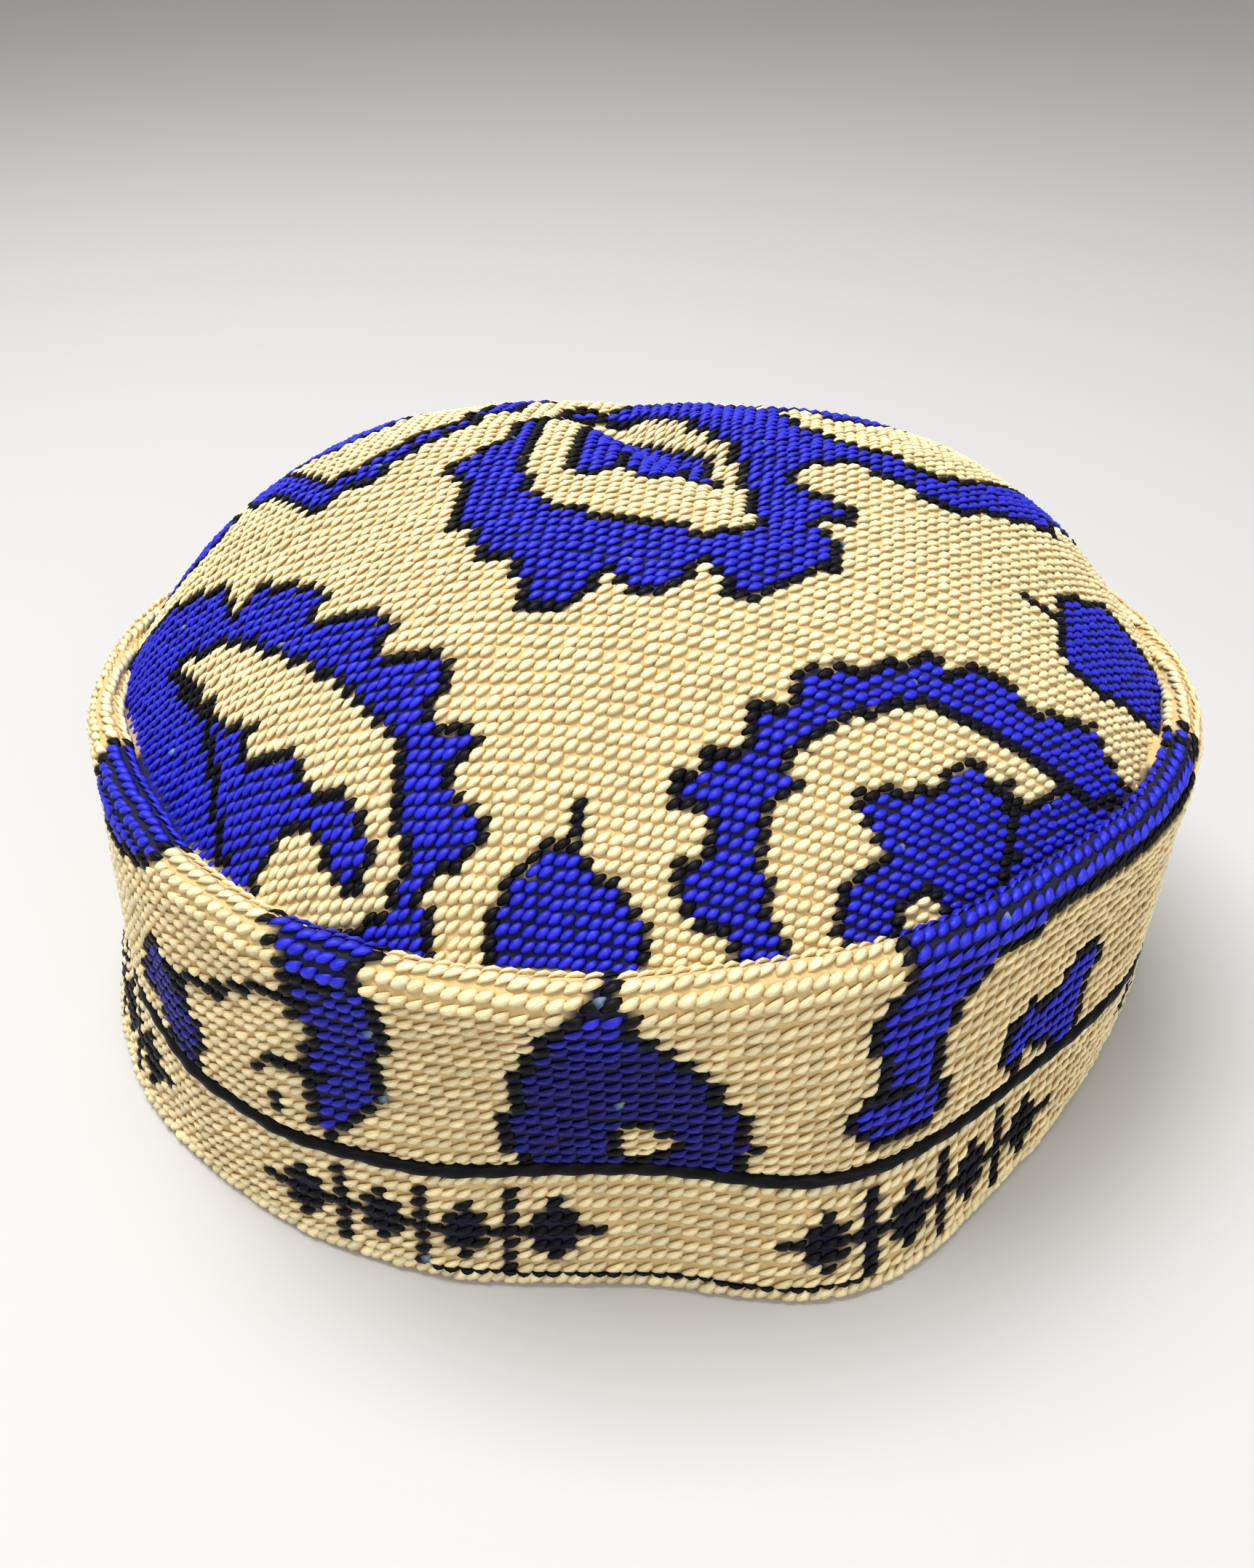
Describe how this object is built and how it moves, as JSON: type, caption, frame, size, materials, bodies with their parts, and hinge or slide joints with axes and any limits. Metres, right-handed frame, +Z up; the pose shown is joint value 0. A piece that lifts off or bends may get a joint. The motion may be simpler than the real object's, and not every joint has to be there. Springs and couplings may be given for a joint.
{
  "type": "skullcap",
  "caption": "Four-sided stitched skullcap with a domed crown, a padded fold above an upright wall, a corded seam, a band and a rolled hem, open underneath for the head.",
  "frame": {"origin": "centre of the cap's footprint, on the surface it rests on", "axes": "+Z up through the crown; -Y towards the side that is seen first, whose wall bears the dark pointed motif; +X to that view's right"},
  "size_m": [0.2012, 0.1678, 0.1009],
  "materials": {
    "stitched_cloth": "satin",
    "stitched_band": "satin",
    "black_cord": "satin",
    "overcast_edge": "satin"
  },
  "bodies": {
    "root": {"crown": "stitched_cloth", "band": "stitched_band", "seam_cord": "black_cord", "hem_edging": "overcast_edge"}
  },
  "joints": []
}
